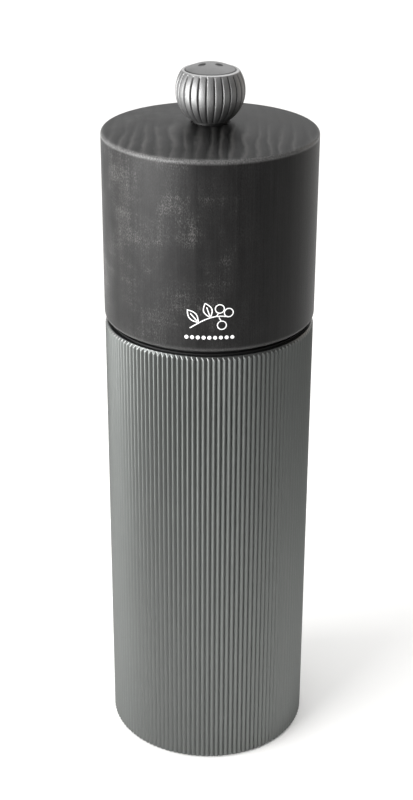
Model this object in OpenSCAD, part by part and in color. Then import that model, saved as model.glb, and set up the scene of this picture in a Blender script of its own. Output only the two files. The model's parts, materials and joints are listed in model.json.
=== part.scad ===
// Table pepper mill: a ribbed aluminium casing with a hopper barrel and a steel
// grinding mechanism in its foot, a turning wooden head, and a ball knob that is
// screwed on the drive shaft and sets the grind.
// Millimetres. The origin is the centre of the foot, on the table. +Z is up.

/* [Overall] */
// Height from the table to the top of the knob
total_h = 180; // [160:1:300]
// Height of the wooden head, at the middle of its crown
head_h = 48.5; // [44:0.1:56]
// Radius of the wooden head
head_r = 26; // [25.7:0.1:30]
// Rise of the crown on top of the head
head_crown = 1.9; // [0.5:0.1:3]
// Open gap between the head and the rim of the casing
head_gap = 1.2; // [1:0.1:1.5]

/* [Casing] */
// Number of ribs round the sleeve
rib_count = 128; // [60:2:150]
// Depth of the grooves between the ribs
rib_depth = 0.45; // [0.2:0.05:0.6]
// Radius of the sleeve over its ribs
sleeve_r = 25.9; // [25.4:0.05:26.8]
// Radius of the hopper bore that holds the peppercorns
hopper_r = 19.5; // [19.2:0.1:20]

/* [Mechanism] */
// Side of the square drive shaft
shaft_side = 5; // [4.6:0.1:5]
// Grinding gap between the cone and the ring at rest
grind_gap = 0.4; // [0.3:0.05:0.8]
// Fine teeth round the cone
cone_teeth = 36; // [24:2:40]
// Fine teeth round the ring
ring_teeth = 40; // [24:2:44]
// Coarse crushing flutes on both the cone and the ring
crusher_flutes = 10; // [6:1:12]
// Wire of the spring
wire_d = 0.9; // [0.7:0.05:0.95]
// Turns of the spring
spring_turns = 4.5; // [3:0.5:5.5]

/* [Knob] */
// Radius of the ball that the knob is turned from
knob_r = 8.28; // [8:0.01:9]
// Grooves round the knob
knob_grooves = 26; // [16:2:28]

/* [Hidden] */
$fn = 96;
eps = 0.01;
fit = 0.1;               // radial clearance of pieces that are pushed or glued together
rest = 0.05;             // gap left between pieces that sit on one another
snug = 0.02;             // and under clamped faces

// Levels above the table, from the top down
knob_h = 13.45;          // from the knob's flat foot to the top of its cap
knob_gap = 0.4;          // between the wood and the knob's foot
knob_z = total_h - knob_h;
knob_centre = knob_z + 7;
cap_rise = 1.6;          // crown of the cap above the rim of the knob
knob_rim = total_h - cap_rise;
head_top = knob_z - knob_gap;
head_z = head_top - head_h;
sleeve_top = head_z - head_gap;

// Casing
foot_h = 0.3;            // flange of the base ring, under the sleeve
foot_r = sleeve_r - 1.2;
sleeve_bore_r = sleeve_r - 1.4;
barrel_r = sleeve_bore_r - fit;
sleeve_chamfer = 0.5;    // cut off the ends of the ribs, measured inwards
sleeve_chamfer_h = 0.9;  // and measured along the ribs
sleeve_foot_chamfer = 0.2;
barrel_z = 5.9;          // top of the base ring's plug
neck_flange_t = 2.3;
neck_flange_top = sleeve_top + 0.3;
barrel_top = neck_flange_top - neck_flange_t;
neck_bore_r = hopper_r - 1.1;
neck_skirt_h = 8.6;
lead_in = 0.6;
glide_t = 0.5;
base_bore_r = 20;
seat_r = 15.5;           // bore in the barrel that takes the mechanism
seat_top = 26.6;
funnel_top = 31;

// Mechanism
housing_z = 3.8;
housing_top = 25;
housing_r = 15.4;
housing_bore_r = 13.6;
lip = 1;                 // ledge in the housing that carries the ring
flange_r = 19.6;
flange_t = 2;
bridge_t = 1.4;
bridge_hub_r = 5.6;
bridge_arm_w = 3;
bar_z = 2.55;
bar_t = 1.2;
bar_w = 8;
bar_boss_r = 5.4;
screw_circle_r = 17;
screw_r = 1.25;
screw_hole_r = screw_r + 0.1;
pan_r = 2.2;             // head of the screws in the mechanism
pan_h = 1.4;
small_pan_r = 1.7;       // and of those in the collar
small_pan_h = 1.3;
pilot_h = 10;            // depth of the screw holes in the wood
bar_screw_l = 11;
housing_screw_l = 10;
cone_z = 5.3;            // foot of the grinding cone
cone_waist_z = 12;       // above this level the cone crushes, below it grinds
cone_top = 17.3;
cone_foot_r = 11.4;
cone_waist_r = 9.28;
cone_top_r = 6.2;
cone_half_angle = atan((cone_foot_r - cone_waist_r) / (cone_waist_z - cone_z));
crush_half_angle = atan((cone_waist_r - cone_top_r) / (cone_top - cone_waist_z));
ring_z = 5.7;
ring_top = 21;
tooth_cut_l = 9;         // length of the cutters that make the teeth
ring_tooth_cut = 0.6;    // and the sides of their square sections
ring_flute_cut = 1.1;
cone_tooth_cut = 0.7;
cone_flute_cut = 2;
ring_mouth_r = 12.6;
flute_skew = 24;         // lean of the teeth from the vertical
square_z = 6.5;          // the shaft is round below this level
clip_t = 0.6;
clip_z = square_z - clip_t - snug;
clip_groove_r = 1.9;
clip_r = 4.3;
clip_pocket_r = 5;       // hollow in the cone's foot, round the clip
square_fit = 0.06;
shaft_corner_r = shaft_side / sqrt(2);
shaft_hole_r = shaft_corner_r + 0.21;
journal_r = 2.5;
journal_gap = 0.15;
journal_lead = 0.5;
shaft_z = 2;
thread_r = 2.5;
thread_pitch = 0.8;
thread_cut = 0.35;
thread_core_r = thread_r - 0.7;
thread_z = head_top - 9;
shaft_top = knob_z + 8.1;
seat_washer_t = 0.8;
seat_washer_top = housing_top - fit;
seat_washer_r = 5.3;
spring_r = shaft_hole_r + wire_d / 2 + rest;
spring_z = cone_top + rest;
spring_top = seat_washer_top - seat_washer_t - rest;

// Head
collar_r = 23.5;
collar_z = neck_flange_top + glide_t + rest;
collar_top = head_z + 1.5;
spigot_r = neck_bore_r - 0.1;
spigot_h = 11;
spigot_wall = 2;
friction_cord_r = 0.65;
friction_z = collar_z - 7;
plate = [24, 10, 1.5];
collar_screw_circle_r = 14.2;
collar_screw_l = 9;
cavity_r = 9;
head_top_round = 0.9;
head_foot_round = 1.4;
cavity_h = 30;
bush_r = 4.4;
bush_h = 3.5;
bush_top = head_top - 0.5;

// Knob
washer_r = 4.15;
insert_r = 3.4;
insert_h = 9.4;
groove_r = 0.34;         // radius of the round-bottomed grooves
groove_low = -57;        // the grooves run between these latitudes of the ball
groove_high = 34;
cap_r = 6;
cap_seat_z = knob_rim - 1.1;
cap_crown_r = (cap_r * cap_r + cap_rise * cap_rise) / (2 * cap_rise);
cap_spigot_r = 2.9;
dimple_r = 0.95;
dimple_circle_r = 2.3;
dimple_z = total_h - 0.6;

// A plain tube between two levels
module tube(outer, inner, z0, z1) {
    translate([0, 0, z0])
        difference() {
            cylinder(r = outer, h = z1 - z0);
            translate([0, 0, -1]) cylinder(r = inner, h = z1 - z0 + 2);
        }
}

module bore(r, z0, z1) {
    translate([0, 0, z0]) cylinder(r = r, h = z1 - z0);
}

module square_bore(side, z0, z1) {
    translate([-side / 2, -side / 2, z0]) cube([side, side, z1 - z0]);
}

// Half section of the head, from the axis out: a crown that runs into a rounded edge,
// and a rounded edge at the foot
module head_section() {
    crown_r = (head_r * head_r + head_crown * head_crown) / (2 * head_crown);
    crown_z = head_h - crown_r;
    edge_r = head_r - head_top_round;
    edge_z = crown_z + sqrt(pow(crown_r - head_top_round, 2) - edge_r * edge_r);
    difference() {
        union() {
            intersection() {
                square([edge_r * crown_r / (crown_r - head_top_round), head_h]);
                translate([0, crown_z]) circle(r = crown_r, $fn = 720);
            }
            square([head_r, edge_z]);
            translate([edge_r, edge_z]) circle(r = head_top_round);
        }
        translate([head_r - head_foot_round, head_foot_round])
            mirror([0, 1])
                difference() {
                    square(head_foot_round + eps);
                    circle(r = head_foot_round);
                }
    }
}

// A pan-head screw that points up, with its head's underside at z = 0
module pan_screw(length, head_radius, head_height) {
    point = 1.2;
    edge = 0.5;
    slot = [2.4, 0.6, 0.9];
    difference() {
        union() {
            cylinder(r = screw_r, h = length - point);
            translate([0, 0, length - point]) cylinder(r1 = screw_r, r2 = 0.3, h = point);
            translate([0, 0, -head_height]) cylinder(r1 = head_radius - edge, r2 = head_radius, h = edge);
            translate([0, 0, edge - head_height]) cylinder(r = head_radius, h = head_height - edge);
        }
        for (turn = [0, 90])
            rotate(turn) translate([-slot.x / 2, -slot.y / 2, -head_height - eps]) cube(slot);
    }
}

// ---- casing ----

// Outline of the ribs: a crest and a groove in turn
function rib_outline() = [
    for (i = [0 : 2 * rib_count - 1])
        let (a = 180 * i / rib_count, r = sleeve_r - (i % 2) * rib_depth)
        [r * cos(a), r * sin(a)]
];

module ribbed_sleeve() {
    z0 = foot_h + rest;
    h = sleeve_top - z0;
    color([0.36, 0.37, 0.37])
        translate([0, 0, z0])
            difference() {
                intersection() {
                    linear_extrude(h) polygon(rib_outline());
                    // turned outline with both ends chamfered, the upper one more
                    rotate_extrude()
                        polygon([
                            [0, 0],
                            [sleeve_r - sleeve_foot_chamfer, 0],
                            [sleeve_r + eps, sleeve_foot_chamfer],
                            [sleeve_r + eps, h - sleeve_chamfer_h],
                            [sleeve_r - sleeve_chamfer, h],
                            [0, h]
                        ]);
                }
                translate([0, 0, -1]) cylinder(r = sleeve_bore_r, h = h + 2);
            }
}

// Beech barrel: hopper bore above, funnel, and the seat of the mechanism below
module hopper_barrel() {
    color([0.74, 0.58, 0.4])
        difference() {
            bore(barrel_r, barrel_z, barrel_top - rest);
            bore(seat_r, barrel_z - 1, seat_top);
            translate([0, 0, seat_top - eps])
                cylinder(r1 = seat_r, r2 = hopper_r, h = funnel_top - seat_top + 2 * eps);
            bore(hopper_r, funnel_top, barrel_top + 1);
            for (i = [0 : 3])
                rotate(90 * i) translate([screw_circle_r, 0, barrel_z - 1])
                    cylinder(r = screw_r + rest, h = pilot_h);
        }
}

// Black ring that closes the foot; the mill stands on its flange
module base_ring() {
    color([0.05, 0.05, 0.055])
        difference() {
            union() {
                cylinder(r1 = foot_r - 0.3, r2 = foot_r, h = foot_h);
                bore(barrel_r, foot_h - eps, barrel_z - rest);
            }
            bore(base_bore_r, -1, barrel_z + 1);
        }
}

module neck_ring() {
    color([0.06, 0.06, 0.06])
        difference() {
            union() {
                bore(barrel_r, barrel_top, neck_flange_top);
                bore(hopper_r - rest, barrel_top - neck_skirt_h, barrel_top + eps);
            }
            bore(neck_bore_r, barrel_top - neck_skirt_h - 1, neck_flange_top + 1);
            // lead-in that guides the collar into the neck
            translate([0, 0, neck_flange_top - lead_in])
                cylinder(r1 = neck_bore_r, r2 = neck_bore_r + lead_in + eps, h = lead_in + eps);
        }
}

module glide_ring() {
    color([0.1, 0.1, 0.1])
        tube(collar_r - fit, neck_bore_r + lead_in + 0.2, neck_flange_top, neck_flange_top + glide_t);
}

// ---- mechanism ----

module mechanism_housing() {
    color([0.1, 0.1, 0.1])
        difference() {
            union() {
                bore(flange_r, housing_z, housing_z + flange_t);
                bore(housing_r, housing_z, housing_top);
            }
            bore(housing_bore_r, ring_z - rest, housing_top + 1);
            bore(housing_bore_r - lip, housing_z - 1, ring_z);
            for (i = [0 : 3])
                rotate(90 * i)
                    translate([screw_circle_r, 0, housing_z - 1])
                        cylinder(r = screw_hole_r, h = flange_t + 2);
        }
}

// A long V cutter whose middle lies on a cone at radius r and level z
module tooth_cutter(r, z, side, length, half_angle, skew) {
    translate([r, 0, z])
        rotate([skew, 0, 0])
            rotate([0, -half_angle, 0])
                rotate([0, 0, 45])
                    cube([side, side, length], center = true);
}

module grinding_ring() {
    inner_foot_r = cone_foot_r + grind_gap - (ring_z - cone_z) * tan(cone_half_angle);
    inner_waist_r = cone_waist_r + grind_gap;
    mouth_angle = atan((ring_mouth_r - inner_waist_r) / (ring_top - cone_waist_z));
    color([0.42, 0.42, 0.44])
        difference() {
            bore(housing_bore_r - fit, ring_z, ring_top);
            translate([0, 0, ring_z - eps])
                cylinder(r1 = inner_foot_r, r2 = inner_waist_r, h = cone_waist_z - ring_z + 2 * eps);
            translate([0, 0, cone_waist_z])
                cylinder(r1 = inner_waist_r, r2 = ring_mouth_r, h = ring_top - cone_waist_z + eps);
            for (i = [0 : ring_teeth - 1])
                rotate(360 * i / ring_teeth)
                    tooth_cutter((inner_foot_r + inner_waist_r) / 2, (ring_z + cone_waist_z) / 2,
                        ring_tooth_cut, tooth_cut_l, cone_half_angle, flute_skew);
            for (i = [0 : crusher_flutes - 1])
                rotate(360 * i / crusher_flutes)
                    tooth_cutter((inner_waist_r + ring_mouth_r) / 2, (cone_waist_z + ring_top) / 2,
                        ring_flute_cut, tooth_cut_l, -mouth_angle, flute_skew);
        }
}

module grinding_cone() {
    color([0.46, 0.46, 0.48])
        difference() {
            union() {
                translate([0, 0, cone_z])
                    cylinder(r1 = cone_foot_r, r2 = cone_waist_r, h = cone_waist_z - cone_z);
                translate([0, 0, cone_waist_z])
                    cylinder(r1 = cone_waist_r, r2 = cone_top_r, h = cone_top - cone_waist_z);
            }
            square_bore(shaft_side + 2 * square_fit, cone_z - 1, cone_top + 1);
            bore(clip_pocket_r, cone_z - 1, square_z);
            for (i = [0 : cone_teeth - 1])
                rotate(360 * i / cone_teeth)
                    tooth_cutter((cone_foot_r + cone_waist_r) / 2, (cone_z + cone_waist_z) / 2,
                        cone_tooth_cut, tooth_cut_l, cone_half_angle, -flute_skew);
            for (i = [0 : crusher_flutes - 1])
                rotate(360 * i / crusher_flutes)
                    tooth_cutter((cone_waist_r + cone_top_r) / 2 + 0.3, (cone_waist_z + cone_top) / 2,
                        cone_flute_cut, tooth_cut_l - 1, crush_half_angle, -flute_skew);
        }
}

// Three-armed steel plate on the housing that guides the shaft and carries the spring
module shaft_bridge() {
    color([0.6, 0.6, 0.6])
        difference() {
            union() {
                tube(housing_r - fit, housing_bore_r - 0.4, housing_top, housing_top + bridge_t);
                bore(bridge_hub_r, housing_top, housing_top + bridge_t);
                for (i = [0 : 2])
                    rotate(120 * i + 30)
                        translate([shaft_hole_r + 0.5, -bridge_arm_w / 2, housing_top])
                            cube([housing_bore_r - shaft_hole_r - 0.4, bridge_arm_w, bridge_t]);
            }
            bore(shaft_hole_r, housing_top - 1, housing_top + bridge_t + 1);
        }
}

module retaining_bar() {
    end_x = screw_circle_r;
    color([0.62, 0.62, 0.62])
        difference() {
            union() {
                translate([-end_x, -bar_w / 2, bar_z]) cube([2 * end_x, bar_w, bar_t]);
                bore(bar_boss_r, bar_z, bar_z + bar_t);
                // rounded ends, kept inside the base ring
                for (side = [-1, 1])
                    intersection() {
                        translate([side * end_x, 0, bar_z]) cylinder(r = bar_w / 2, h = bar_t);
                        bore(base_bore_r - 0.6, bar_z, bar_z + bar_t);
                    }
            }
            bore(journal_r + journal_gap, bar_z - 1, bar_z + bar_t + 1);
            for (side = [-1, 1])
                translate([side * end_x, 0, bar_z - 1]) cylinder(r = screw_hole_r, h = bar_t + 2);
        }
}

// Two screws hold the bar and the housing, and two hold the housing alone
module mechanism_screws() {
    color([0.7, 0.7, 0.7]) {
        for (side = [0, 180])
            rotate(side)
                translate([screw_circle_r, 0, bar_z - snug])
                    pan_screw(bar_screw_l, pan_r, pan_h);
        for (side = [90, 270])
            rotate(side)
                translate([screw_circle_r, 0, housing_z - snug])
                    pan_screw(housing_screw_l, pan_r, pan_h);
    }
}

// Washer with a square hole: it turns with the shaft, under the bridge
module spring_seat() {
    color([0.75, 0.72, 0.55])
        difference() {
            bore(seat_washer_r, seat_washer_top - seat_washer_t, seat_washer_top);
            square_bore(shaft_side + 2 * square_fit, housing_top - 2, housing_top);
        }
}

// Centre line of the spring at turn t: the end coils lie flat
function coil_level(t) =
    let (dead = 0.75, live = spring_turns - 2 * dead,
         low = spring_z + wire_d / 2, high = spring_top - wire_d / 2,
         part = min(1, max(0, (t - dead / 2) / (live + dead))))
    low + (high - low) * part;
wire_sides = 8;
rings_per_turn = 16;
function wire_ring(t) = [
    for (k = [0 : wire_sides - 1])
        let (a = 360 * k / wire_sides, r = spring_r + wire_d / 2 * cos(a))
        [r * cos(360 * t), r * sin(360 * t), coil_level(t) + wire_d / 2 * sin(a)]
];

module cone_spring() {
    rings = round(spring_turns * rings_per_turn);
    points = [for (i = [0 : rings]) each wire_ring(i / rings_per_turn)];
    sides = [
        for (i = [0 : rings - 1], k = [0 : wire_sides - 1])
            let (a = i * wire_sides + k, b = i * wire_sides + (k + 1) % wire_sides)
            [a, b, b + wire_sides, a + wire_sides]
    ];
    first = [for (k = [wire_sides - 1 : -1 : 0]) k];
    last = [for (k = [0 : wire_sides - 1]) rings * wire_sides + k];
    color([0.66, 0.66, 0.68]) polyhedron(points, concat([first, last], sides));
}

// ---- spindle ----

// Square rod with a journal and clip groove at its foot and a screw thread on top
module drive_shaft() {
    color([0.72, 0.72, 0.73])
        difference() {
            union() {
                bore(journal_r, shaft_z + journal_lead, square_z + eps);
                translate([0, 0, shaft_z])
                    cylinder(r1 = journal_r - journal_lead, r2 = journal_r, h = journal_lead);
                square_bore(shaft_side, square_z, thread_z);
                bore(thread_r, thread_z - eps, shaft_top - thread_pitch);
                translate([0, 0, shaft_top - thread_pitch])
                    cylinder(r1 = thread_r, r2 = thread_core_r, h = thread_pitch);
            }
            tube(journal_r + 2, clip_groove_r, clip_z - rest, square_z);
            // thread grooves, one a pitch
            for (z = [thread_z + thread_pitch : thread_pitch : shaft_top - 1.5 * thread_pitch])
                translate([0, 0, z])
                    rotate_extrude() translate([thread_r, 0]) circle(r = thread_cut, $fn = 4);
        }
}

module cone_clip() {
    color([0.3, 0.3, 0.3])
        difference() {
            tube(clip_r, clip_groove_r + rest, clip_z, clip_z + clip_t);
            translate([0, 0.2 - clip_groove_r, clip_z - 1]) cube([clip_r + 1, 2 * clip_groove_r - 0.4, 3]);
        }
}

// ---- head ----

module wooden_head() {
    color([0.16, 0.155, 0.15])
        difference() {
            translate([0, 0, head_z]) rotate_extrude() head_section();
            bore(collar_r + fit, head_z - 1, collar_top);
            translate([0, 0, collar_top + (plate.z + fit) / 2])
                cube([plate.x + 2 * fit, plate.y + 2 * fit, plate.z + fit + eps], center = true);
            bore(cavity_r, collar_top, collar_top + cavity_h);
            bore(shaft_hole_r + 0.1, collar_top, head_top + 1);
            bore(bush_r + rest, bush_top - bush_h, head_top + 1);
            for (i = [0 : 2])
                rotate(120 * i + 90)
                    translate([collar_screw_circle_r, 0, collar_top - 1])
                        cylinder(r = screw_r + rest, h = collar_screw_l + 1);
        }
}

// Black collar under the head: its web holds the drive plate, its spigot turns in the neck
module head_collar() {
    color([0.07, 0.07, 0.07])
        difference() {
            union() {
                bore(collar_r, collar_z, collar_top - eps);
                bore(spigot_r, collar_z - spigot_h, collar_z + eps);
            }
            bore(spigot_r - spigot_wall, collar_z - spigot_h - 1, collar_z);
            bore(cavity_r, collar_z - 1, collar_top + 1);
            // groove for the friction ring
            tube(spigot_r + 1, spigot_r - 2 * friction_cord_r,
                friction_z - friction_cord_r - fit, friction_z + friction_cord_r + fit);
            for (i = [0 : 2])
                rotate(120 * i + 90)
                    translate([collar_screw_circle_r, 0, collar_z - 1])
                        cylinder(r = screw_hole_r, h = collar_top - collar_z + 2);
        }
}

module drive_plate() {
    color([0.7, 0.7, 0.7])
        difference() {
            translate([0, 0, collar_top + plate.z / 2]) cube(plate, center = true);
            square_bore(shaft_side + 2 * square_fit, collar_top - 1, collar_top + plate.z + 1);
        }
}

module collar_screws() {
    color([0.7, 0.7, 0.7])
        for (i = [0 : 2])
            rotate(120 * i + 90)
                translate([collar_screw_circle_r, 0, collar_z - snug])
                    pan_screw(collar_screw_l, small_pan_r, small_pan_h);
}

module friction_ring() {
    color([0.35, 0.08, 0.05])
        translate([0, 0, friction_z])
            rotate_extrude()
                translate([spigot_r + rest - friction_cord_r, 0])
                    circle(r = friction_cord_r, $fn = 32);
}

module top_bush() {
    color([0.08, 0.08, 0.08]) tube(bush_r, shaft_hole_r, bush_top - bush_h, bush_top);
}

// ---- knob ----

module knob_washer() {
    color([0.04, 0.04, 0.04]) tube(washer_r, thread_r + 0.15, bush_top + snug, knob_z - snug);
}

// A ball, cut flat above and below, with grooves along its meridians
module knob_shell() {
    color([0.66, 0.66, 0.67])
        difference() {
            intersection() {
                translate([0, 0, knob_centre]) sphere(r = knob_r);
                bore(knob_r + 1, knob_z, knob_rim);
            }
            for (i = [0 : knob_grooves - 1])
                translate([0, 0, knob_centre])
                    rotate([90, 0, 360 * i / knob_grooves])
                        rotate(groove_low)
                            rotate_extrude(angle = groove_high - groove_low)
                                translate([knob_r + rest, 0]) circle(r = groove_r, $fn = 24);
            bore(cap_r + rest, cap_seat_z, knob_rim + 1);
            bore(cap_spigot_r + fit, knob_z + insert_h - 1, knob_rim);
            bore(insert_r + snug, knob_z - 1, knob_z + insert_h + fit);
        }
}

module knob_insert() {
    color([0.78, 0.62, 0.32]) tube(insert_r, thread_r + fit, knob_z + fit, knob_z + insert_h);
}

// Crowned disc in the top of the knob, with three round dimples
module knob_cap() {
    color([0.6, 0.6, 0.61])
        difference() {
            intersection() {
                union() {
                    bore(cap_spigot_r, cap_seat_z - 0.9, cap_seat_z + fit);
                    bore(cap_r, cap_seat_z + rest, total_h);
                }
                translate([0, 0, total_h - cap_crown_r]) sphere(r = cap_crown_r);
            }
            for (i = [0 : 2])
                rotate(120 * i + 90) translate([dimple_circle_r, 0, dimple_z]) cylinder(r = dimple_r, h = 1);
        }
}

ribbed_sleeve();
hopper_barrel();
base_ring();
neck_ring();
glide_ring();
mechanism_housing();
grinding_ring();
shaft_bridge();
retaining_bar();
mechanism_screws();
spring_seat();
cone_spring();
drive_shaft();
grinding_cone();
cone_clip();
wooden_head();
head_collar();
drive_plate();
collar_screws();
friction_ring();
top_bush();
knob_washer();
knob_shell();
knob_insert();
knob_cap();
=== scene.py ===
import json
import math

import bmesh
import bpy
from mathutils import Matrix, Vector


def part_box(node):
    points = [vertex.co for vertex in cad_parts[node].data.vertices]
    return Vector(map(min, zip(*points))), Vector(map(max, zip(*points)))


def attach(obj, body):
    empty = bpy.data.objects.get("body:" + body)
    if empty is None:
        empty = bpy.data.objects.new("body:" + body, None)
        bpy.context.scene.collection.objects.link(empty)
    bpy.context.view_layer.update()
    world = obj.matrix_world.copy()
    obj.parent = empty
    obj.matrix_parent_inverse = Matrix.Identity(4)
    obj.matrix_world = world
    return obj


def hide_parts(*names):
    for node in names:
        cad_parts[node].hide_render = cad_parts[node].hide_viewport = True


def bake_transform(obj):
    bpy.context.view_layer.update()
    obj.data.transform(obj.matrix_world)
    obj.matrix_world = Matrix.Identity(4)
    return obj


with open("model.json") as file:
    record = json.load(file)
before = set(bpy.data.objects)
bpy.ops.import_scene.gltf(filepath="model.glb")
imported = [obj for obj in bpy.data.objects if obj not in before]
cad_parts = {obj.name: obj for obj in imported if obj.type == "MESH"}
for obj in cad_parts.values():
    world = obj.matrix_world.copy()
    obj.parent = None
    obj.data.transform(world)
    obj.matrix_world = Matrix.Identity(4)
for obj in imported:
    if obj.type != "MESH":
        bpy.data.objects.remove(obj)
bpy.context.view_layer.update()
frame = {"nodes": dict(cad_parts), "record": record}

MM = 0.001
TURN = 2 * math.pi


def radius(node):
    """Largest radius of a round CAD node about the mill's axis."""
    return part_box(node)[1][0]


def low(node):
    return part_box(node)[0][2]


def high(node):
    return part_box(node)[1][2]


# Radii and levels that the frame gives, in metres
SLEEVE_R = radius("ribbed_sleeve")
SLEEVE_Z = low("ribbed_sleeve")
RIM = high("ribbed_sleeve")
BARREL_R = radius("hopper_barrel")
HEAD_R = radius("wooden_head")
HEAD_Z = low("wooden_head")
HEAD_TOP = high("wooden_head")
COLLAR_TOP = high("head_collar")
KNOB_R = radius("knob_shell")
KNOB_Z = low("knob_shell")
KNOB_RIM = high("knob_shell")
CAP_R = radius("knob_cap")
CAP_Z = low("knob_cap")
CAP_TOP = high("knob_cap")
SHAFT_HALF = radius("drive_shaft")
SHAFT_Z = low("drive_shaft")
SHAFT_TOP = high("drive_shaft")

# Gaps left round fitted pieces, so that no two faces lie in one place
LOOSE = 0.1 * MM
SNUG = 0.05 * MM
HAIR = 0.02 * MM

# Casing
RIBS = 128
RIB_DEPTH = 0.45 * MM
RIB_CREST = 0.15                        # roundness of a rib's crest, as a share of half a pitch
RIM_CHAMFER = (0.5 * MM, 0.9 * MM)      # inwards, along
FOOT_CHAMFER = (0.2 * MM, 0.2 * MM)

# Head
CROWN = 1.9 * MM                        # rise of the top
HEAD_TOP_ROUND = 0.9 * MM
HEAD_FOOT_ROUND = 1.4 * MM
CAVITY_R = 9 * MM
CAVITY_H = 30 * MM
BUSH_SHOULDER = 0.6 * MM

# Knob and cap
KNOB_CENTRE = KNOB_Z + 7 * MM
KNOB_GROOVES = 26
GROOVE_HALF = 0.34 * MM
GROOVE_DEPTH = 0.34 * MM
GROOVE_LOW = math.radians(-57)
GROOVE_HIGH = math.radians(34)
GROOVE_RUNOUT = 0.05                    # radians over which a groove rises at its ends
PANEL_CROWN = 0.07 * MM
KNOB_BORE_R = 3 * MM
CAP_SEAT = KNOB_RIM - 1.1 * MM
CAP_SPIGOT_R = 2.9 * MM
CAP_RISE = CAP_TOP - KNOB_RIM
CAP_DOME_R = (CAP_R ** 2 + CAP_RISE ** 2) / (2 * CAP_RISE)
DIMPLES = 3
DIMPLE_R = 0.95 * MM
DIMPLE_CIRCLE_R = 2.3 * MM
DIMPLE_DEPTH = 0.32 * MM
WASHER_BORE_R = 2.65 * MM

# Spring and shaft
SPRING_WIRE = 0.9 * MM
SPRING_TURNS = 4.5
SPRING_DEAD = 0.75                      # turns that lie flat, half of them at each end
JOURNAL_TOP = SHAFT_Z + 4.5 * MM
CLIP_GROOVE_R = 1.9 * MM
CLIP_GROOVE_H = 0.67 * MM
THREAD_Z = HEAD_TOP - 8.9 * MM
THREAD_PITCH = 0.8 * MM
THREAD_DEPTH = 0.38 * MM
THREAD_LEAD = 0.7 * MM                  # how far the last pitch narrows


# ---- meshes ----

def finish_mesh(name, bm, sharp=32):
    """Turns a bmesh into a piece, smooth except at edges sharper than the angle given."""
    bmesh.ops.recalc_face_normals(bm, faces=bm.faces)
    mesh = bpy.data.meshes.new(name)
    bm.to_mesh(mesh)
    bm.free()
    mesh.shade_smooth()
    mesh.set_sharp_from_angle(angle=math.radians(sharp))
    piece = bpy.data.objects.new(name, mesh)
    bpy.context.scene.collection.objects.link(piece)
    return piece


def skin(name, rings, closed=False, sharp=32):
    """A solid from rings of points, each joined to the next. A ring of one point is a pole.
    A closed skin joins its last ring to its first, as a tube does."""
    bm = bmesh.new()
    rows = [[bm.verts.new(p) for p in ring] for ring in rings]
    pairs = list(zip(rows, rows[1:]))
    if closed:
        pairs.append((rows[-1], rows[0]))
    for a, b in pairs:
        n = max(len(a), len(b))
        for i in range(n):
            j = (i + 1) % n
            if len(a) == 1:
                bm.faces.new((a[0], b[i], b[j]))
            elif len(b) == 1:
                bm.faces.new((a[i], b[0], a[j]))
            else:
                bm.faces.new((a[i], b[i], b[j], a[j]))
    return finish_mesh(name, bm, sharp)


def circle(r, z, count):
    """Points of a level circle, or of a wavy one when r is a function of the angle."""
    if r == 0:
        return [(0, 0, z)]
    wavy = callable(r)
    ring = []
    for i in range(count):
        a = TURN * i / count
        reach = r(a) if wavy else r
        ring.append((reach * math.cos(a), reach * math.sin(a), z))
    return ring


def arc(centre_r, centre_z, r, start, end, steps):
    """Points of an arc in an outline, between two angles in degrees."""
    points = []
    for i in range(steps + 1):
        a = math.radians(start + (end - start) * i / steps)
        points.append((centre_r + r * math.cos(a), centre_z + r * math.sin(a)))
    return points


def turned(name, outline, count):
    """A piece turned on the lathe from its closed outline of (r, z) points."""
    return skin(name, [circle(r, z, count) for r, z in outline], closed=True)


def rib_radius(angle):
    """Radius of the sleeve at an angle: a ridge with an eased crest in each pitch."""
    across = (angle * RIBS / TURN + 0.5) % 1 * 2 - 1
    slope = math.hypot(across, RIB_CREST) - RIB_CREST
    full = math.hypot(1, RIB_CREST) - RIB_CREST
    return SLEEVE_R - RIB_DEPTH * slope / full


def make_sleeve():
    """Tube whose ribs are chamfered at the rim and at the foot."""
    points_per_rib = 10
    chamfer_steps = 6
    count = RIBS * points_per_rib

    def chamfered_end(end, side, inwards, along):
        rings = []
        for i in range(chamfer_steps + 1):
            share = i / chamfer_steps
            limit = SLEEVE_R - inwards * (1 - share)
            rings.append(circle(lambda a: min(rib_radius(a), limit), end + side * along * share, count))
        return rings

    foot = chamfered_end(SLEEVE_Z, 1, *FOOT_CHAMFER)
    rim = chamfered_end(RIM, -1, *RIM_CHAMFER)
    bore_r = BARREL_R + LOOSE
    ease = 0.15 * MM
    inside = [
        circle(bore_r + ease, RIM, count),
        circle(bore_r, RIM - ease, count),
        circle(bore_r, SLEEVE_Z, count),
    ]
    return skin("rib_sleeve", foot + rim[::-1] + inside, closed=True, sharp=28)


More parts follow.
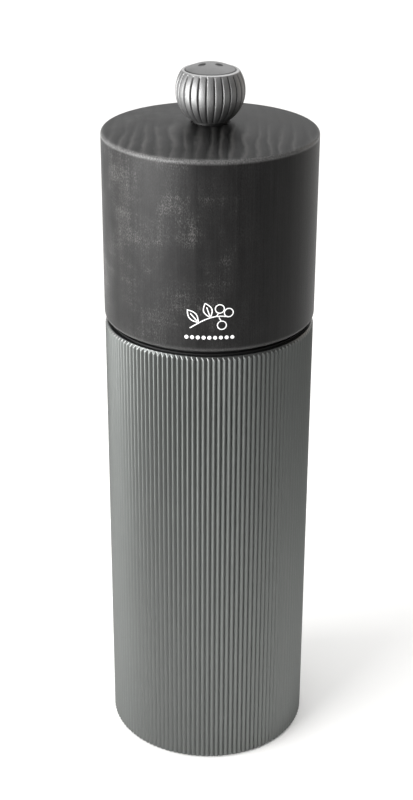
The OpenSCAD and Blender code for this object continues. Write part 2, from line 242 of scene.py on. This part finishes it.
def make_head():
    """Turned block: a crowned top, rounded edges, a recess for the collar below, a cavity
    over it, and a seat for the bush in the top."""
    recess_r = radius("head_collar") + LOOSE
    recess_top = COLLAR_TOP + HAIR
    cavity_top = COLLAR_TOP + CAVITY_H
    bush_r = radius("top_bush") + SNUG
    bush_z = low("top_bush")
    hole_r = bush_r - BUSH_SHOULDER
    ease = 0.25 * MM
    crown_r = (HEAD_R ** 2 + CROWN ** 2) / (2 * CROWN)
    crown_z = HEAD_TOP + bush_r ** 2 / (2 * crown_r) - crown_r
    edge_r = HEAD_R - HEAD_TOP_ROUND
    edge_z = crown_z + math.sqrt((crown_r - HEAD_TOP_ROUND) ** 2 - edge_r ** 2)
    edge_angle = math.degrees(math.atan2(edge_z - crown_z, edge_r))
    middle_angle = math.degrees(math.acos((bush_r + ease) / crown_r))
    outline = arc(recess_r + ease, HEAD_Z + ease, ease, 180, 270, steps=5)
    outline += arc(HEAD_R - HEAD_FOOT_ROUND, HEAD_Z + HEAD_FOOT_ROUND, HEAD_FOOT_ROUND, -90, 0, steps=10)
    outline += arc(edge_r, edge_z, HEAD_TOP_ROUND, 0, edge_angle, steps=10)
    outline += arc(0, crown_z, crown_r, edge_angle, middle_angle, steps=24)[1:]
    outline += [
        (bush_r, HEAD_TOP - ease),
        (bush_r, bush_z),
        (hole_r, bush_z),
        (hole_r, cavity_top),
        (CAVITY_R, cavity_top),
        (CAVITY_R, recess_top),
        (recess_r, recess_top),
    ]
    return turned("turned_head", outline, count=256)


def groove(angle, latitude):
    """Depth of the knob's surface below its ball: a narrow V groove in each pitch, between
    panels that are a little crowned. Both run out at the ends."""
    offset = abs((angle * KNOB_GROOVES / TURN + 0.5) % 1 - 0.5)
    away = offset * TURN / KNOB_GROOVES * KNOB_R * math.cos(latitude)
    cut = GROOVE_DEPTH * max(0, 1 - away / GROOVE_HALF)
    sink = PANEL_CROWN * (1 - 2 * offset) ** 2
    ends = min((latitude - GROOVE_LOW) / GROOVE_RUNOUT, (GROOVE_HIGH - latitude) / GROOVE_RUNOUT, 1)
    return max(cut, sink) * max(0, ends)


def make_knob():
    """Ball cut flat above and below, grooved on its meridians, with a seat for the cap and
    a bore for the insert."""
    # where each pitch is drawn, closest together at its groove
    shares = (-0.5, -0.4, -0.3, -0.21, -0.16, -0.1, -0.05, 0, 0.05, 0.1, 0.16, 0.21, 0.3, 0.4)
    angles = [TURN * (k + share) / KNOB_GROOVES for k in range(KNOB_GROOVES) for share in shares]

    def ring(r, z, latitude=None):
        points = []
        for a in angles:
            reach = r if latitude is None else r - groove(a, latitude) * math.cos(latitude)
            points.append((reach * math.cos(a), reach * math.sin(a), z))
        return points

    start = math.asin((KNOB_Z - KNOB_CENTRE) / KNOB_R)
    end = math.asin((KNOB_RIM - KNOB_CENTRE) / KNOB_R)
    rim_r = KNOB_R * math.cos(end)
    insert_r = radius("knob_insert") + HAIR
    insert_top = high("knob_insert") + LOOSE
    seat_r = CAP_R + SNUG
    ease = 0.12 * MM
    steps = 50
    rings = [ring(insert_r, KNOB_Z)]
    for i in range(steps):
        latitude = start + (end - start) * i / steps
        rings.append(ring(KNOB_R * math.cos(latitude), KNOB_CENTRE + KNOB_R * math.sin(latitude), latitude))
    rings += [
        ring(rim_r + ease * 0.6, KNOB_RIM - ease),
        ring(rim_r - ease, KNOB_RIM),
        ring(seat_r + ease, KNOB_RIM),
        ring(seat_r, KNOB_RIM - ease),
        ring(seat_r, CAP_SEAT),
        ring(KNOB_BORE_R, CAP_SEAT),
        ring(KNOB_BORE_R, insert_top),
        ring(insert_r, insert_top),
    ]
    return skin("grooved_knob", rings, closed=True)


def make_cap():
    """The domed disc in the knob, with bowl-shaped dimples, and its spigot."""
    steps = 60
    count = 192
    ease = 0.1 * MM
    angles = [TURN * k / count for k in range(count)]
    dimple_angles = [TURN * k / DIMPLES + TURN / 4 for k in range(DIMPLES)]

    def level(r, angle):
        z = CAP_TOP - CAP_DOME_R + math.sqrt(CAP_DOME_R ** 2 - r ** 2)
        for a in dimple_angles:
            away = math.hypot(r * math.cos(angle) - DIMPLE_CIRCLE_R * math.cos(a),
                              r * math.sin(angle) - DIMPLE_CIRCLE_R * math.sin(a)) / DIMPLE_R
            z -= DIMPLE_DEPTH * max(0, 1 - away ** 3) ** 0.8
        return z

    rings = [[(0, 0, level(0, 0))]]
    for i in range(1, steps + 1):
        r = (CAP_R - ease) * i / steps
        rings.append([(r * math.cos(a), r * math.sin(a), level(r, a)) for a in angles])
    rings += [
        circle(CAP_R, KNOB_RIM - ease, count),
        circle(CAP_R, CAP_SEAT + SNUG, count),
        circle(CAP_SPIGOT_R, CAP_SEAT + SNUG, count),
        circle(CAP_SPIGOT_R, CAP_Z + ease, count),
        circle(CAP_SPIGOT_R - ease, CAP_Z, count),
        circle(0, CAP_Z, count),
    ]
    return skin("domed_cap", rings)


def make_shaft():
    """Square rod with eased edges, a journal and clip groove at its foot, and a helical
    thread as wide as the rod at its top."""
    count = 64
    sharpness = 16            # how near to a true square the section is
    rings_per_pitch = 8
    flank_slope = 2.6         # how quickly the thread's flanks rise
    lead_depth = 0.3          # share of the thread's depth left on its lead-in
    lead_in = 0.5 * MM
    square_start = 0.2 * MM   # length over which round turns to square above the journal
    square_end = 0.9 * MM     # length over which square turns to round below the thread
    thread_end = SHAFT_TOP - THREAD_PITCH
    groove_z = JOURNAL_TOP - CLIP_GROOVE_H

    def square(a):
        c, s = abs(math.cos(a)), abs(math.sin(a))
        return SHAFT_HALF / (c ** sharpness + s ** sharpness) ** (1 / sharpness)

    def thread(z):
        runout = max(0, min((z - THREAD_Z) / THREAD_PITCH, (SHAFT_TOP - z) / THREAD_PITCH, 1))
        lead = THREAD_LEAD * max(0, (z - thread_end) / THREAD_PITCH)
        depth = THREAD_DEPTH * runout * (lead_depth if lead else 1)

        def reach(a):
            turn = ((z - THREAD_Z) / THREAD_PITCH - a / TURN) % 1
            flank = min(1, abs(turn - 0.5) * flank_slope)
            return SHAFT_HALF - lead - depth * (1 - flank)
        return reach

    rings = [
        circle(0, SHAFT_Z, count),
        circle(SHAFT_HALF - lead_in, SHAFT_Z, count),
        circle(SHAFT_HALF, SHAFT_Z + lead_in, count),
        circle(SHAFT_HALF, groove_z, count),
        circle(CLIP_GROOVE_R, groove_z, count),
        circle(CLIP_GROOVE_R, JOURNAL_TOP, count),
        circle(SHAFT_HALF, JOURNAL_TOP, count),
        circle(square, JOURNAL_TOP + square_start, count),
        circle(square, THREAD_Z - square_end, count),
        circle(SHAFT_HALF, THREAD_Z, count),
    ]
    steps = math.ceil((SHAFT_TOP - THREAD_Z) / THREAD_PITCH * rings_per_pitch)
    for i in range(1, steps + 1):
        z = THREAD_Z + (SHAFT_TOP - THREAD_Z) * i / steps
        rings.append(circle(thread(z), z, count))
    rings.append(circle(0, SHAFT_TOP, count))
    return skin("square_shaft", rings)


def make_washer():
    """Thin washer with four rounded edges."""
    outer_r = radius("knob_washer")
    bottom = low("knob_washer")
    top = high("knob_washer")
    ease = 0.15 * MM
    outline = arc(WASHER_BORE_R + ease, bottom + ease, ease, 180, 270, steps=4)
    outline += arc(outer_r - ease, bottom + ease, ease, 270, 360, steps=4)
    outline += arc(outer_r - ease, top - ease, ease, 0, 90, steps=4)
    outline += arc(WASHER_BORE_R + ease, top - ease, ease, 90, 180, steps=4)
    return turned("thin_washer", outline, count=128)


def make_spring():
    """Coil of round wire whose end turns lie flat."""
    wire_r = SPRING_WIRE / 2
    bottom = low("cone_spring") + wire_r
    top = high("cone_spring") - wire_r
    coil_r = radius("cone_spring") - wire_r
    rings_per_turn = 28
    sides = 14
    count = round(SPRING_TURNS * rings_per_turn)

    def centre(i):
        turn = i / rings_per_turn
        share = min(1, max(0, (turn - SPRING_DEAD / 2) / (SPRING_TURNS - SPRING_DEAD)))
        a = TURN * turn
        return coil_r * math.cos(a), coil_r * math.sin(a), bottom + (top - bottom) * share

    rings = [[centre(0)]]
    for i in range(count + 1):
        x, y, z = centre(i)
        ring = []
        for k in range(sides):
            b = TURN * k / sides
            reach = 1 + wire_r * math.cos(b) / coil_r
            ring.append((x * reach, y * reach, z + wire_r * math.sin(b)))
        rings.append(ring)
    rings.append([centre(count)])
    return skin("coil_spring", rings, sharp=50)


def ribbon(bm, path, width, looped=False):
    """Adds a thin printed line to a mesh. The path is (across, up) on the head's front, and
    the line follows the round of the wood, a hair above it."""
    proud_r = HEAD_R + HAIR
    buried_r = HEAD_R - 0.06 * MM
    section = ((1, proud_r), (-1, proud_r), (-1, buried_r), (1, buried_r))
    n = len(path)
    rings = []
    for i, (u, v) in enumerate(path):
        before = path[i - 1] if looped or i else path[i]
        after = path[(i + 1) % n] if looped or i < n - 1 else path[i]
        du, dv = after[0] - before[0], after[1] - before[1]
        length = math.hypot(du, dv)
        nu, nv = -dv / length * width / 2, du / length * width / 2
        ring = []
        for side, r in section:
            a = (u + side * nu) / HEAD_R
            ring.append(bm.verts.new((r * math.sin(a), -r * math.cos(a), v + side * nv)))
        rings.append(ring)
    pairs = list(zip(rings, rings[1:]))
    if looped:
        pairs.append((rings[-1], rings[0]))
    for a, b in pairs:
        for k in range(4):
            bm.faces.new((a[k], a[(k + 1) % 4], b[(k + 1) % 4], b[k]))
    if not looped:
        bm.faces.new(rings[0][::-1])
        bm.faces.new(rings[-1])


def loop(u, v, r, count=20):
    return [(u + r * math.cos(TURN * i / count), v + r * math.sin(TURN * i / count)) for i in range(count)]


def make_print():
    """Printed pepper sprig over a row of dots: a stem, two leaves and three peppercorns.
    Points are (across, up) in millimetres from the middle of the sprig's foot."""
    foot_z = HEAD_Z + 5.2 * MM
    line = 0.24
    berry_r = 1.05
    bm = bmesh.new()

    def draw(points, looped=False, width=line):
        ribbon(bm, [(x * MM, foot_z + y * MM) for x, y in points], width * MM, looped)

    def leaf(foot, tip, belly):
        length = math.dist(foot, tip)
        along_x, along_y = (tip[0] - foot[0]) / length, (tip[1] - foot[1]) / length

        def at(share, out):
            x = foot[0] + along_x * length * share - along_y * out
            y = foot[1] + along_y * length * share + along_x * out
            return x, y

        steps = 12
        there = [i / steps for i in range(steps)]
        back = [1 - share for share in there]
        edge = [at(share, belly * math.sin(math.pi * share)) for share in there]
        edge += [at(share, -belly * math.sin(math.pi * share)) for share in back]
        draw(edge, looped=True)
        draw([at(share, 0) for share in (0.12, 0.4, 0.72)])

    draw([(-4.6 + 0.9 * i, 1.1 + 3.1 * math.sin(0.2 * i)) for i in range(11)])
    leaf((-2.6, 2.6), (-5.2, 5.6), 0.95)
    leaf((0.2, 3.9), (-1.0, 7.4), 1.0)
    for x, y in ((2.4, 6.0), (4.5, 5.0), (2.9, 1.9)):
        draw(loop(x, y, berry_r), looped=True)
    for stalk in (((1.6, 4.1), (2.1, 4.95)), ((3.4, 4.0), (3.8, 4.3)), ((2.2, 3.9), (2.7, 2.95))):
        draw(stalk)
    for i in range(-4, 5):
        draw(loop(i * 1.35, -1.2, 0.26, 14), looped=True, width=0.42)
    return finish_mesh("printed_sprig", bm)


# ---- finishes ----

class Value:
    """A number in a finish. Arithmetic on it adds Math nodes."""

    def __init__(self, finish, socket):
        self.finish = finish
        self.socket = socket

    def __add__(self, other):
        return self.finish.math("ADD", self, other)

    def __sub__(self, other):
        return self.finish.math("SUBTRACT", self, other)

    def __rsub__(self, other):
        return self.finish.math("SUBTRACT", other, self)

    def __mul__(self, other):
        return self.finish.math("MULTIPLY", self, other)

    def __truediv__(self, other):
        return self.finish.math("DIVIDE", self, other)

    def __rtruediv__(self, other):
        return self.finish.math("DIVIDE", other, self)

    def __pow__(self, other):
        return self.finish.math("POWER", self, other)

    __radd__ = __add__
    __rmul__ = __mul__


class Finish:
    """A material, built up from nodes. Constants are set on the shader itself."""

    def __init__(self, name, **constants):
        self.material = bpy.data.materials.new(name)
        self.material.use_nodes = True
        self.nodes = self.material.node_tree.nodes
        self.links = self.material.node_tree.links
        self.shader = self.nodes["Principled BSDF"]
        for socket, value in constants.items():
            self.shader.inputs[socket.replace("_", " ")].default_value = value
        self.place = self.add("ShaderNodeTexCoord", {}, {}, output="Object")

    def add(self, kind, settings, sockets, output=0):
        """A node of a kind: its settings are set first, then its sockets are given values or links."""
        node = self.nodes.new(kind)
        for key, value in settings.items():
            if key == "stops":
                ramp = node.color_ramp
                while len(ramp.elements) < len(value):
                    ramp.elements.new(0.5)
                for element, (position, colour) in zip(ramp.elements, value):
                    element.position = position
                    element.color = (*colour, 1)
            else:
                setattr(node, key, value)
        pairs = sockets.items() if isinstance(sockets, dict) else enumerate(sockets)
        for key, value in pairs:
            self.feed(node.inputs[key], value)
        return Value(self, node.outputs[output])

    def feed(self, socket, value):
        if isinstance(value, Value):
            self.links.new(value.socket, socket)
        elif socket.type == "RGBA":
            socket.default_value = (*value, 1)
        else:
            socket.default_value = value

    def math(self, operation, *values):
        return self.add("ShaderNodeMath", {"operation": operation}, values)

    def axis(self, name):
        return self.add("ShaderNodeSeparateXYZ", {}, (self.place,), output="XYZ".index(name))

    def noise(self, scale, detail=3.0, roughness=0.55, shift=(0, 0, 0)):
        """Noise from 0 to 1, whose scale is given along X, Y and Z in cells per metre."""
        moved = self.add("ShaderNodeVectorMath", {"operation": "MULTIPLY_ADD"}, (self.place, scale, shift))
        sockets = {"Vector": moved, "Scale": 1.0, "Detail": detail, "Roughness": roughness}
        return self.add("ShaderNodeTexNoise", {"noise_dimensions": "3D"}, sockets)

    def step(self, value, start, end):
        """0 below start, 1 above end, smooth between. A start above the end falls instead."""
        rising = start < end
        sockets = {
            "Value": value,
            "From Min": min(start, end),
            "From Max": max(start, end),
            "To Min": 0.0 if rising else 1.0,
            "To Max": 1.0 if rising else 0.0,
        }
        return self.add("ShaderNodeMapRange", {"interpolation_type": "SMOOTHSTEP"}, sockets)

    def ramp(self, value, stops):
        return self.add("ShaderNodeValToRGB", {"stops": stops}, (value,))

    def mix(self, share, a, b):
        """Colour a where the share is 0 and colour b where it is 1."""
        return self.add("ShaderNodeMix", {"data_type": "RGBA"}, {0: share, 6: a, 7: b}, output=2)

    def bump(self, height, depth, strength):
        return self.add("ShaderNodeBump", {}, {"Height": height, "Distance": depth, "Strength": strength})

    def surface(self, **links):
        """Links what varies to the shader's sockets, and returns the material."""
        for socket, value in links.items():
            self.links.new(value.socket, self.shader.inputs[socket.replace("_", " ")])
        return self.material


def grey(level, warmth=0.0):
    """A grey, a little warmer or cooler than neutral."""
    return (level * (1 + warmth), level, level * (1 - warmth))


def graphite_wood():
    """Beech stained graphite grey under a satin lacquer. The growth rings are cylinders
    about a pith that lies outside the blank, so they show as bands on the end grain."""
    f = Finish("graphite_wood", Specular_IOR_Level=0.16)
    x, y, z = f.axis("X"), f.axis("Y"), f.axis("Z")
    pith = 160 * MM
    ring_pitch = 2.9 * MM
    drift = f.noise((75, 26, 14), detail=2, shift=(3.1, 0, 0)) - 0.5
    waver = f.noise((900, 260, 60), detail=3, roughness=0.7, shift=(0, 7, 0)) - 0.5
    from_pith = ((x + pith) * (x + pith) + y * y) ** 0.5 + drift * (9 * MM) + waver * (1.2 * MM)
    ring_tone = f.ramp(f.math("FRACT", from_pith / ring_pitch), [
        (0.0, grey(0.12)), (0.12, grey(0.72)), (0.3, grey(0.95)), (0.72, grey(0.62)), (1.0, grey(0.12)),
    ])
    fibre = f.noise((3000, 3000, 60), detail=4, roughness=0.65)
    streak = f.noise((420, 420, 9), detail=3, roughness=0.55, shift=(0, 0, 2)) - 0.5
    speckle = f.noise((5200, 5200, 2100), detail=3, roughness=0.7)
    mottle = f.step(f.noise((120, 120, 75), detail=5, roughness=0.62, shift=(1.7, 4.2, 0.4)), 0.30, 0.68)
    cross = f.step(f.noise((60, 60, 420), detail=4, roughness=0.6, shift=(0, 0, 5)), 0.38, 0.78)
    # painted light: the step on x keeps the lighter mottle and its flecks to the left and middle, the side
    # the key light falls on
    mottle_with_painted_light = mottle * (0.5 + 0.5 * cross) * f.step(x, 22 * MM, -6 * MM)
    flecks_and_painted_light = mottle_with_painted_light * f.step(speckle, 0.34, 0.66)
    edge_z = HEAD_TOP - CROWN
    on_top = f.step(z, edge_z - 0.5 * MM, edge_z + 0.1 * MM)
    # the stain takes unevenly: in bands on the end grain, in patches and streaks on the side; the patches
    # and their light flecks are kept to the left and middle, where the key light falls, so there they are
    # partly painted light
    side = 0.15 + 0.85 * flecks_and_painted_light + 0.10 * mottle_with_painted_light + 0.55 * (fibre - 0.5) + 0.50 * streak + 0.5 * (speckle - 0.5)
    front = f.step(y, 6 * MM, -16 * MM)
    bands = (ring_tone - 0.62) * (0.25 + 0.75 * front)
    end = 0.33 + 1.2 * bands * (0.6 + 1.6 * (drift + 0.25)) + 0.5 * (speckle - 0.5) + 0.25 * mottle_with_painted_light
    tone = side * (1 - on_top) + end * on_top
    base = f.ramp(tone, [(0.0, grey(0.001, 0.01)), (0.5, grey(0.011, 0.015)), (1.0, grey(0.065, 0.03))])
    # the lacquer is thinner on the turned edges, and the lighter colour on the top arris and the foot round
    # is also a painted highlight
    worn = f.step(z, edge_z - 1.3 * MM, edge_z - 0.5 * MM) * f.step(z, edge_z + 0.25 * MM, edge_z - 0.1 * MM)
    foot = f.step(z, HEAD_Z + 1.6 * MM, HEAD_Z + 0.5 * MM)
    rubbed_and_painted_highlight = (0.62 * worn + 0.28 * foot) * (0.35 + 0.65 * f.step(speckle, 0.35, 0.65))
    base = f.mix(rubbed_and_painted_highlight, base, grey(0.17, 0.01))
    rough = 0.44 - 0.06 * mottle_with_painted_light + 0.10 * (fibre - 0.5) - 0.12 * worn
    relief = fibre * 0.6 + ring_tone * on_top * 0.5 + speckle * 0.4
    return f.surface(Base_Color=base, Roughness=rough, Normal=f.bump(relief, 0.06 * MM, 0.5))


def gunmetal():
    """Drawn aluminium, anodised grey: fine lines along the draw, a little cloudiness, paler
    towards the foot as a painted reflection of the bright floor, and bright where the rim is cut."""
    f = Finish("gunmetal_anodised", Metallic=1.0, Specular_IOR_Level=0.5)
    z = f.axis("Z")
    lines = f.noise((5200, 5200, 24), detail=3, roughness=0.6)
    cloud = f.noise((55, 55, 26), detail=3)
    cut = f.step(z, RIM - 1.0 * MM, RIM - 0.75 * MM)
    foot = f.step(z, RIM, SLEEVE_Z)
    tone = 0.5 + 0.5 * (lines - 0.5) + 0.25 * (cloud - 0.5)
    base = f.ramp(tone, [(0.0, (0.058, 0.061, 0.059)), (1.0, (0.102, 0.107, 0.104))])
    base = f.mix(cut * 0.12, base, grey(0.30))
    # painted reflection: the sleeve is painted paler towards the foot, standing in for the bright floor it
    # reflects
    base = f.mix(foot * 0.8, base, (0.170, 0.177, 0.172))
    rough = 0.45 + 0.10 * (cloud - 0.5) + 0.10 * (lines - 0.5) - 0.08 * cut
    return f.surface(Base_Color=base, Roughness=rough, Normal=f.bump(lines, 0.03 * MM, 0.35))


def cast_knob():
    """Satin cast metal: brighter on the rim, with painted shade darkening the grooves."""
    f = Finish("satin_knob", Metallic=1.0)
    x, y, z = f.axis("X"), f.axis("Y"), f.axis("Z")
    grain = f.noise((2600, 2600, 2600), detail=4, roughness=0.65)
    cloud = f.noise((260, 260, 260), detail=3, shift=(1, 2, 3))
    rise = z - KNOB_CENTRE
    reach = (x * x + y * y + rise * rise) ** 0.5
    painted_shade_hollow = f.step(reach, KNOB_R - 0.09 * MM, KNOB_R - 0.24 * MM)
    rim = f.step(z, KNOB_RIM - 0.28 * MM, KNOB_RIM - 0.08 * MM)
    tone = 0.35 + 0.5 * (grain - 0.5) + 0.4 * (cloud - 0.5)
    base = f.ramp(tone, [(0.0, grey(0.14)), (0.5, grey(0.23)), (1.0, grey(0.31))])
    # painted shade: the grooves are painted near black
    base = f.mix(painted_shade_hollow * 0.75, base, grey(0.03))
    base = f.mix(rim, base, grey(0.48))
    rough = 0.55 + 0.14 * (grain - 0.5) + 0.2 * painted_shade_hollow - 0.10 * rim
    return f.surface(Base_Color=base, Roughness=rough, Normal=f.bump(grain, 0.04 * MM, 0.5))


def cap_metal():
    """The cap's metal is turned, a shade darker than the knob, with fine lines round it, and painted
    shade darkens its dimples and the ring round its edge, where it meets the knob."""
    f = Finish("satin_cap", Metallic=1.0)
    x, y = f.axis("X"), f.axis("Y")
    line_density = 42000      # radians a metre, which is a line each 0.15 mm
    reach = (x * x + y * y) ** 0.5
    rise = f.axis("Z") - (CAP_TOP - CAP_DOME_R)
    grain = f.noise((1900, 1900, 1900), detail=4, roughness=0.6)
    turning = f.math("SINE", reach * line_density)
    painted_shade_hollow = f.step((x * x + y * y + rise * rise) ** 0.5, CAP_DOME_R - 0.03 * MM, CAP_DOME_R - 0.12 * MM)
    edge = f.step(reach, CAP_R - 0.35 * MM, CAP_R - 0.1 * MM)
    base = f.ramp(0.5 + 0.35 * (grain - 0.5) + 0.06 * turning, [(0.0, grey(0.13)), (1.0, grey(0.25))])
    # painted shade: the dimples and the ring round the cap's edge are painted near black
    base = f.mix(painted_shade_hollow * 0.8 + edge * 0.5, base, grey(0.02))
    rough = 0.36 + 0.12 * (grain - 0.5)
    relief = 0.5 * turning + grain
    return f.surface(Base_Color=base, Roughness=rough, Normal=f.bump(relief, 0.02 * MM, 0.3))


def white_print():
    """White screen print, a little worn through."""
    f = Finish("white_print", Specular_IOR_Level=0.3)
    wear = f.step(f.noise((2600, 2600, 2600), detail=4, roughness=0.7), 0.25, 0.5)
    base = f.mix(wear, grey(0.42), grey(0.74))
    return f.surface(Base_Color=base, Roughness=0.62 - 0.1 * wear, Normal=f.bump(wear, 0.01 * MM, 0.3))


def plain_finish(name, dark, light, rough, grain, relief=0.03 * MM, **constants):
    """A finish that varies between two colours with a fine grain of a given scale."""
    f = Finish(name, **constants)
    fine = f.noise(grain, detail=4, roughness=0.6)
    cloud = f.noise((70, 70, 70), detail=3, shift=(2, 5, 1))
    base = f.mix(0.6 * fine + 0.4 * cloud, dark, light)
    roughness = rough + 0.16 * (fine - 0.5) + 0.12 * (cloud - 0.5)
    return f.surface(Base_Color=base, Roughness=roughness, Normal=f.bump(fine, relief, 0.4))


black = plain_finish("black_moulding", grey(0.006), grey(0.014), 0.55, (2600, 2600, 2600),
                     Specular_IOR_Level=0.25)
steel = plain_finish("plain_steel", grey(0.09, -0.01), grey(0.17, -0.01), 0.56, (500, 500, 3500),
                     Metallic=1.0)
hard_steel = plain_finish("hardened_steel", grey(0.09), grey(0.19), 0.42, (1500, 1500, 900),
                          Metallic=1.0)
wire_steel = plain_finish("spring_steel", grey(0.18), grey(0.30), 0.34, (1500, 1500, 1500),
                          Metallic=1.0)
brass = plain_finish("turned_brass", (0.38, 0.26, 0.10), (0.56, 0.42, 0.20), 0.34, (400, 400, 5000),
                     Metallic=1.0)
rubber = plain_finish("red_rubber", (0.16, 0.03, 0.02), (0.26, 0.06, 0.04), 0.62, (2500, 2500, 2500))
beech = plain_finish("natural_beech", (0.46, 0.28, 0.15), (0.70, 0.50, 0.31), 0.60, (2600, 2600, 90),
                     relief=0.1 * MM)


# ---- pieces ----

def place(piece, body, node, material):
    """Puts a piece on its body, in the place of a CAD node."""
    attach(piece, body)
    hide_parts(node)
    piece.data.materials.append(material)


place(make_sleeve(), "casing", "ribbed_sleeve", gunmetal())
place(make_head(), "head", "wooden_head", graphite_wood())
place(make_knob(), "knob", "knob_shell", cast_knob())
place(make_cap(), "knob", "knob_cap", cap_metal())
place(make_shaft(), "spindle", "drive_shaft", steel)
place(make_washer(), "knob_seat", "knob_washer", black)

# the spring stays where the CAD spring stood, on no body
spring = make_spring()
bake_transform(spring)
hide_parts("cone_spring")
spring.data.materials.append(wire_steel)

sprig = make_print()
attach(sprig, "head")
sprig.data.materials.append(white_print())

BY_SLOT = {
    "black_plastic": black,
    "plain_steel": steel,
    "hardened_steel": hard_steel,
    "spring_steel": wire_steel,
    "brass": brass,
    "red_rubber": rubber,
    "natural_beech": beech,
}
for entry in frame["record"]["subparts"]:
    material = BY_SLOT.get(entry["material_slot"])
    if material:
        node = frame["nodes"][entry["node"]]
        node.data.materials.clear()
        node.data.materials.append(material)


# ---- floor, light and camera ----

FLOOR_HALF = 3
FLOOR_DROP = 0.05 * MM        # keeps the floor out of the plane of the mill's foot

bm = bmesh.new()
bmesh.ops.create_grid(bm, x_segments=2, y_segments=2, size=FLOOR_HALF)
floor = finish_mesh("floor", bm)
floor_finish = Finish("pale_floor", Roughness=0.9, Specular_IOR_Level=0.1)
floor_tone = floor_finish.noise((20, 20, 20), detail=2)
floor_colour = floor_finish.mix(floor_tone, (0.86, 0.858, 0.85), (0.89, 0.888, 0.88))
floor.data.materials.append(floor_finish.surface(Base_Color=floor_colour))
floor.location.z = -FLOOR_DROP

MIDDLE = (0, 0, 0.1)


def hang(name, lamp, at):
    """Puts a lamp at a place, turned towards the middle of the mill."""
    hung = bpy.data.objects.new(name, lamp)
    hung.location = at
    toward = [b - a for a, b in zip(at, MIDDLE)]
    flat = math.hypot(toward[0], toward[1])
    hung.rotation_euler = (math.atan2(flat, -toward[2]), 0, math.atan2(-toward[0], toward[1]))
    bpy.context.scene.collection.objects.link(hung)


def soft_box(name, at, power, size, colour=(1, 1, 1)):
    """A lit rectangle of a size in metres."""
    lamp = bpy.data.lights.new(name, "AREA")
    lamp.shape = "RECTANGLE"
    lamp.size, lamp.size_y = size
    lamp.energy = power
    lamp.color = colour
    hang(name, lamp, at)


def sky(name, at, power, angle):
    """A far source as wide as a number of degrees."""
    lamp = bpy.data.lights.new(name, "SUN")
    lamp.angle = math.radians(angle)
    lamp.energy = power
    hang(name, lamp, at)


soft_box("front_left_box", (-0.52, -0.30, 0.17), 11, (0.62, 0.32))
soft_box("back_left_box", (-0.74, 0.30, 0.27), 1, (0.7, 0.5))
soft_box("back_box", (0.2, 1.7, 0.95), 9, (2.2, 1.3))
soft_box("warm_fill", (0.85, 0.55, 0.35), 0.9, (0.5, 0.6), colour=(1, 0.88, 0.76))
sky("overhead", (0.1, 0.1, 1.5), 2.35, angle=100)

world = bpy.data.worlds.new("studio")
world.use_nodes = True
background = world.node_tree.nodes["Background"].inputs
background["Color"].default_value = (1, 1, 1, 1)
background["Strength"].default_value = 0.2
bpy.context.scene.world = world
bpy.context.scene.view_settings.view_transform = "Standard"

LOOKS_DOWN = 25.315           # degrees below level
ROLL = 0.25                   # degrees about the line of sight

camera = bpy.data.objects.new("camera", bpy.data.cameras.new("camera"))
camera.data.sensor_width = 36
camera.data.lens = 69.72
camera.location = (-0.0006, -0.35866, 0.26295)
camera.rotation_mode = "ZYX"
camera.rotation_euler = (math.radians(90 - LOOKS_DOWN), 0, math.radians(ROLL))
bpy.context.scene.collection.objects.link(camera)
bpy.context.scene.camera = camera
